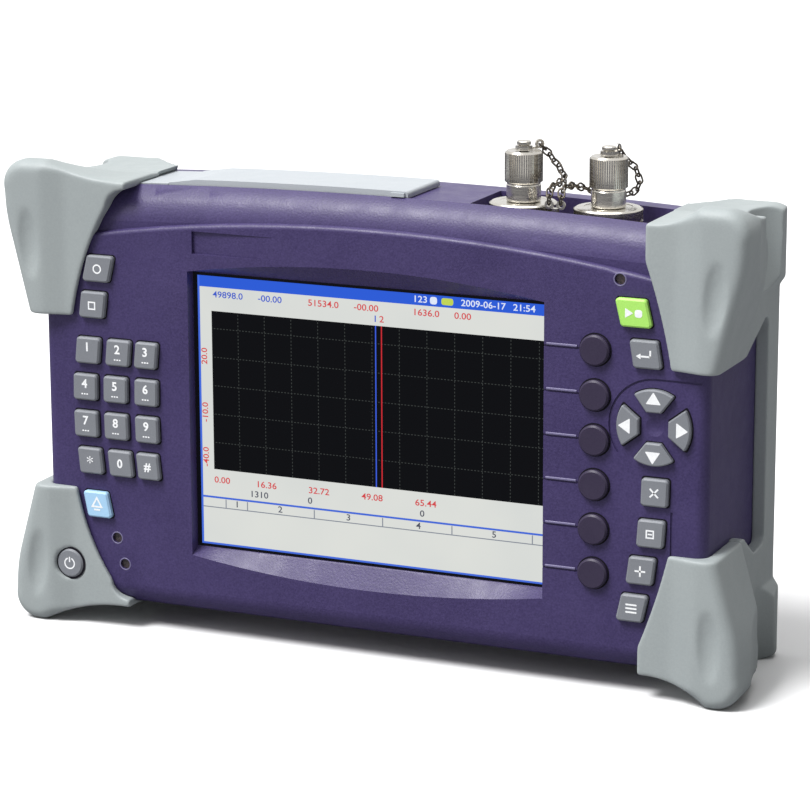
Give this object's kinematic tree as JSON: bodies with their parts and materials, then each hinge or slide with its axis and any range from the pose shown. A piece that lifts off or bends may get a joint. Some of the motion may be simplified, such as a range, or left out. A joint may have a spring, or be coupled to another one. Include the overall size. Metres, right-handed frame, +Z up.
{
  "type": "optical time domain reflectometer",
  "caption": "Hand-held fibre tester: arched two-shell case with corner boots, screen, key groups, lidded port bay, tilt stand and chained screw caps over its fibre ports.",
  "frame": {"origin": "on the table, below the middle of the bounding box", "axes": "+X to the right across the front, +Y from the front to the back, +Z up"},
  "size_m": [0.2776, 0.0706, 0.1835],
  "materials": {
    "case_plastic": "fine moulded grain, satin",
    "grey_rubber": "soft matt overmould",
    "cover_rubber": "soft matt, slightly lighter than the boots",
    "display_glass": "clear anti-glare window",
    "lcd_metal": "pressed metal frame",
    "circuit_board": "green solder mask",
    "light_lens": "smoked lens",
    "engine_aluminium": "machined block",
    "battery_sleeve": "heat-shrink sleeve",
    "screw_steel": "zinc plated",
    "dark_plastic": "fine grain",
    "socket_black": "moulded insulator",
    "bright_metal": "nickel plated, turned and knurled",
    "chain_metal": "darkened nickel",
    "key_grey": "silk-touch silicone",
    "key_green": "silk-touch silicone",
    "key_blue": "silk-touch silicone",
    "key_dark": "silk-touch silicone"
  },
  "bodies": {
    "case": {"front_shell": "case_plastic", "rear_shell": "case_plastic", "boot_upper_left": "grey_rubber", "boot_upper_right": "grey_rubber", "boot_lower_left": "grey_rubber", "boot_lower_right": "grey_rubber", "rear_bumpers": "grey_rubber", "display_window": "display_glass", "lcd_module": "lcd_metal", "key_boards": "circuit_board", "status_lights": "light_lens", "main_board": "circuit_board", "optical_engine": "engine_aluminium", "battery_pack": "battery_sleeve", "battery_door": "case_plastic", "case_screws": "screw_steel", "port_cover_strap": "cover_rubber", "port_sockets": "socket_black", "connector_plate": "bright_metal", "fiber_adapters": "bright_metal", "chain_left": "chain_metal", "chain_right": "chain_metal"},
    "tilt_stand": {"tilt_stand": "dark_plastic"},
    "port_cover": {"port_cover": "cover_rubber"},
    "cap_swivel_left": {"cap_swivel_left": "bright_metal"},
    "dust_cap_left": {"dust_cap_left": "bright_metal"},
    "cap_swivel_right": {"cap_swivel_right": "bright_metal"},
    "dust_cap_right": {"dust_cap_right": "bright_metal"},
    "keypad_key_1": {"keypad_key_1": "key_grey"},
    "keypad_key_2": {"keypad_key_2": "key_grey"},
    "keypad_key_3": {"keypad_key_3": "key_grey"},
    "keypad_key_4": {"keypad_key_4": "key_grey"},
    "keypad_key_5": {"keypad_key_5": "key_grey"},
    "keypad_key_6": {"keypad_key_6": "key_grey"},
    "keypad_key_7": {"keypad_key_7": "key_grey"},
    "keypad_key_8": {"keypad_key_8": "key_grey"},
    "keypad_key_9": {"keypad_key_9": "key_grey"},
    "keypad_key_star": {"keypad_key_star": "key_grey"},
    "keypad_key_0": {"keypad_key_0": "key_grey"},
    "keypad_key_hash": {"keypad_key_hash": "key_grey"},
    "auto_key": {"auto_key": "key_grey"},
    "home_key": {"home_key": "key_grey"},
    "shift_key": {"shift_key": "key_blue"},
    "start_key": {"start_key": "key_green"},
    "enter_key": {"enter_key": "key_grey"},
    "cancel_key": {"cancel_key": "key_grey"},
    "file_key": {"file_key": "key_grey"},
    "setup_key": {"setup_key": "key_grey"},
    "results_key": {"results_key": "key_grey"},
    "cursor_key_up": {"cursor_key_up": "key_grey"},
    "cursor_key_right": {"cursor_key_right": "key_grey"},
    "cursor_key_down": {"cursor_key_down": "key_grey"},
    "cursor_key_left": {"cursor_key_left": "key_grey"},
    "soft_key_1": {"soft_key_1": "key_dark"},
    "soft_key_2": {"soft_key_2": "key_dark"},
    "soft_key_3": {"soft_key_3": "key_dark"},
    "soft_key_4": {"soft_key_4": "key_dark"},
    "soft_key_5": {"soft_key_5": "key_dark"},
    "soft_key_6": {"soft_key_6": "key_dark"},
    "power_key": {"power_key": "key_grey"}
  },
  "joints": [
    {"name": "keypad_key_1_press", "type": "slide", "parent": "case", "child": "keypad_key_1", "axis": [0, 1, 0], "range_m": [0, 0.001], "stiffness_N_per_m": 400, "springref_m": -0.0005},
    {"name": "keypad_key_2_press", "type": "slide", "parent": "case", "child": "keypad_key_2", "axis": [0, 1, 0], "range_m": [0, 0.001], "stiffness_N_per_m": 400, "springref_m": -0.0005},
    {"name": "keypad_key_3_press", "type": "slide", "parent": "case", "child": "keypad_key_3", "axis": [0, 1, 0], "range_m": [0, 0.001], "stiffness_N_per_m": 400, "springref_m": -0.0005},
    {"name": "keypad_key_4_press", "type": "slide", "parent": "case", "child": "keypad_key_4", "axis": [0, 1, 0], "range_m": [0, 0.001], "stiffness_N_per_m": 400, "springref_m": -0.0005},
    {"name": "keypad_key_5_press", "type": "slide", "parent": "case", "child": "keypad_key_5", "axis": [0, 1, 0], "range_m": [0, 0.001], "stiffness_N_per_m": 400, "springref_m": -0.0005},
    {"name": "keypad_key_6_press", "type": "slide", "parent": "case", "child": "keypad_key_6", "axis": [0, 1, 0], "range_m": [0, 0.001], "stiffness_N_per_m": 400, "springref_m": -0.0005},
    {"name": "keypad_key_7_press", "type": "slide", "parent": "case", "child": "keypad_key_7", "axis": [0, 1, 0], "range_m": [0, 0.001], "stiffness_N_per_m": 400, "springref_m": -0.0005},
    {"name": "keypad_key_8_press", "type": "slide", "parent": "case", "child": "keypad_key_8", "axis": [0, 1, 0], "range_m": [0, 0.001], "stiffness_N_per_m": 400, "springref_m": -0.0005},
    {"name": "keypad_key_9_press", "type": "slide", "parent": "case", "child": "keypad_key_9", "axis": [0, 1, 0], "range_m": [0, 0.001], "stiffness_N_per_m": 400, "springref_m": -0.0005},
    {"name": "keypad_key_star_press", "type": "slide", "parent": "case", "child": "keypad_key_star", "axis": [0, 1, 0], "range_m": [0, 0.001], "stiffness_N_per_m": 400, "springref_m": -0.0005},
    {"name": "keypad_key_0_press", "type": "slide", "parent": "case", "child": "keypad_key_0", "axis": [0, 1, 0], "range_m": [0, 0.001], "stiffness_N_per_m": 400, "springref_m": -0.0005},
    {"name": "keypad_key_hash_press", "type": "slide", "parent": "case", "child": "keypad_key_hash", "axis": [0, 1, 0], "range_m": [0, 0.001], "stiffness_N_per_m": 400, "springref_m": -0.0005},
    {"name": "auto_key_press", "type": "slide", "parent": "case", "child": "auto_key", "axis": [0, 1, 0], "range_m": [0, 0.001], "stiffness_N_per_m": 400, "springref_m": -0.0005},
    {"name": "home_key_press", "type": "slide", "parent": "case", "child": "home_key", "axis": [0, 1, 0], "range_m": [0, 0.001], "stiffness_N_per_m": 400, "springref_m": -0.0005},
    {"name": "shift_key_press", "type": "slide", "parent": "case", "child": "shift_key", "axis": [0, 1, 0], "range_m": [0, 0.001], "stiffness_N_per_m": 400, "springref_m": -0.0005},
    {"name": "start_key_press", "type": "slide", "parent": "case", "child": "start_key", "axis": [0, 1, 0], "range_m": [0, 0.001], "stiffness_N_per_m": 400, "springref_m": -0.0005},
    {"name": "enter_key_press", "type": "slide", "parent": "case", "child": "enter_key", "axis": [0, 1, 0], "range_m": [0, 0.001], "stiffness_N_per_m": 400, "springref_m": -0.0005},
    {"name": "cancel_key_press", "type": "slide", "parent": "case", "child": "cancel_key", "axis": [0, 1, 0], "range_m": [0, 0.001], "stiffness_N_per_m": 400, "springref_m": -0.0005},
    {"name": "file_key_press", "type": "slide", "parent": "case", "child": "file_key", "axis": [0, 1, 0], "range_m": [0, 0.001], "stiffness_N_per_m": 400, "springref_m": -0.0005},
    {"name": "setup_key_press", "type": "slide", "parent": "case", "child": "setup_key", "axis": [0, 1, 0], "range_m": [0, 0.001], "stiffness_N_per_m": 400, "springref_m": -0.0005},
    {"name": "results_key_press", "type": "slide", "parent": "case", "child": "results_key", "axis": [0, 1, 0], "range_m": [0, 0.001], "stiffness_N_per_m": 400, "springref_m": -0.0005},
    {"name": "cursor_key_up_press", "type": "slide", "parent": "case", "child": "cursor_key_up", "axis": [0, 1, 0], "range_m": [0, 0.001], "stiffness_N_per_m": 400, "springref_m": -0.0005},
    {"name": "cursor_key_right_press", "type": "slide", "parent": "case", "child": "cursor_key_right", "axis": [0, 1, 0], "range_m": [0, 0.001], "stiffness_N_per_m": 400, "springref_m": -0.0005},
    {"name": "cursor_key_down_press", "type": "slide", "parent": "case", "child": "cursor_key_down", "axis": [0, 1, 0], "range_m": [0, 0.001], "stiffness_N_per_m": 400, "springref_m": -0.0005},
    {"name": "cursor_key_left_press", "type": "slide", "parent": "case", "child": "cursor_key_left", "axis": [0, 1, 0], "range_m": [0, 0.001], "stiffness_N_per_m": 400, "springref_m": -0.0005},
    {"name": "soft_key_1_press", "type": "slide", "parent": "case", "child": "soft_key_1", "axis": [0, 1, 0], "range_m": [0, 0.001], "stiffness_N_per_m": 400, "springref_m": -0.0005},
    {"name": "soft_key_2_press", "type": "slide", "parent": "case", "child": "soft_key_2", "axis": [0, 1, 0], "range_m": [0, 0.001], "stiffness_N_per_m": 400, "springref_m": -0.0005},
    {"name": "soft_key_3_press", "type": "slide", "parent": "case", "child": "soft_key_3", "axis": [0, 1, 0], "range_m": [0, 0.001], "stiffness_N_per_m": 400, "springref_m": -0.0005},
    {"name": "soft_key_4_press", "type": "slide", "parent": "case", "child": "soft_key_4", "axis": [0, 1, 0], "range_m": [0, 0.001], "stiffness_N_per_m": 400, "springref_m": -0.0005},
    {"name": "soft_key_5_press", "type": "slide", "parent": "case", "child": "soft_key_5", "axis": [0, 1, 0], "range_m": [0, 0.001], "stiffness_N_per_m": 400, "springref_m": -0.0005},
    {"name": "soft_key_6_press", "type": "slide", "parent": "case", "child": "soft_key_6", "axis": [0, 1, 0], "range_m": [0, 0.001], "stiffness_N_per_m": 400, "springref_m": -0.0005},
    {"name": "power_key_press", "type": "slide", "parent": "case", "child": "power_key", "axis": [0, 1, 0], "range_m": [0, 0.001], "stiffness_N_per_m": 400, "springref_m": -0.0005},
    {"name": "port_cover_fold", "type": "hinge", "parent": "case", "child": "port_cover", "pos_m": [-0.079, 0, 0.16254], "axis": [0, -1, 0], "range_deg": [0, 115]},
    {"name": "stand_turn", "type": "hinge", "parent": "case", "child": "tilt_stand", "pos_m": [0, 0.028, 0.1414], "axis": [1, 0, 0], "range_deg": [0, 50]},
    {"name": "cap_left_lift", "type": "slide", "parent": "case", "child": "cap_swivel_left", "axis": [0, 0, 1], "range_m": [0, 0.00525], "deforming": ["chain_left"]},
    {"name": "cap_left_screw", "type": "hinge", "parent": "cap_swivel_left", "child": "dust_cap_left", "pos_m": [0.0502, -0.0075, 0.1629], "axis": [0, 0, 1], "range_deg": [0, 2520]},
    {"name": "cap_right_lift", "type": "slide", "parent": "case", "child": "cap_swivel_right", "axis": [0, 0, 1], "range_m": [0, 0.00525], "deforming": ["chain_right"]},
    {"name": "cap_right_screw", "type": "hinge", "parent": "cap_swivel_right", "child": "dust_cap_right", "pos_m": [0.0808, -0.0075, 0.1629], "axis": [0, 0, 1], "range_deg": [0, 2520]}
  ],
  "couplings": [
    {"joint": "cap_left_screw", "follows": "cap_left_lift", "rad_per_m": 8377},
    {"joint": "cap_right_screw", "follows": "cap_right_lift", "rad_per_m": 8377}
  ]
}
